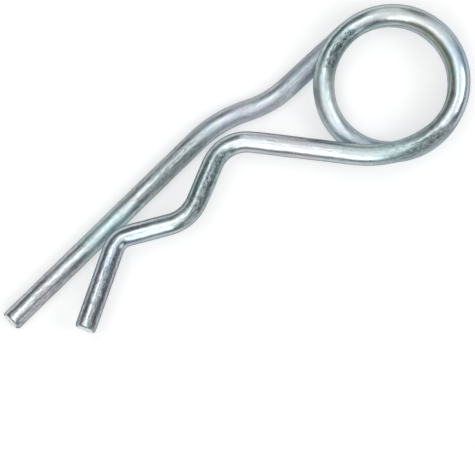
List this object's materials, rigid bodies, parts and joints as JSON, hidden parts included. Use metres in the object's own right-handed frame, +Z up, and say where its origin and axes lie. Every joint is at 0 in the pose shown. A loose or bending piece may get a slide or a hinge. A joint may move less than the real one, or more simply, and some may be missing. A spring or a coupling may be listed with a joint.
{
  "type": "hitch r clip pin",
  "caption": "R-shaped hitch clip bent from round spring wire: a straight leg with a joggle, an open coil at its end and a wavy leg that grips a shaft.",
  "frame": {"origin": "on the straight leg's axis, at the point where the axis of the shaft that the clip locks crosses it", "axes": "+X along the straight leg towards the coil, +Z up as the clip lies flat, with the wavy leg on the -Y side; the table is at z = -2 mm"},
  "size_m": [0.0975, 0.0345, 0.0087],
  "materials": {
    "zinc_plated_steel": "bright zinc plate on spring steel wire, blue-white, with faint tints and dull streaks from bending and handling"
  },
  "bodies": {
    "root": {"clip_wire": "zinc_plated_steel"}
  },
  "joints": []
}
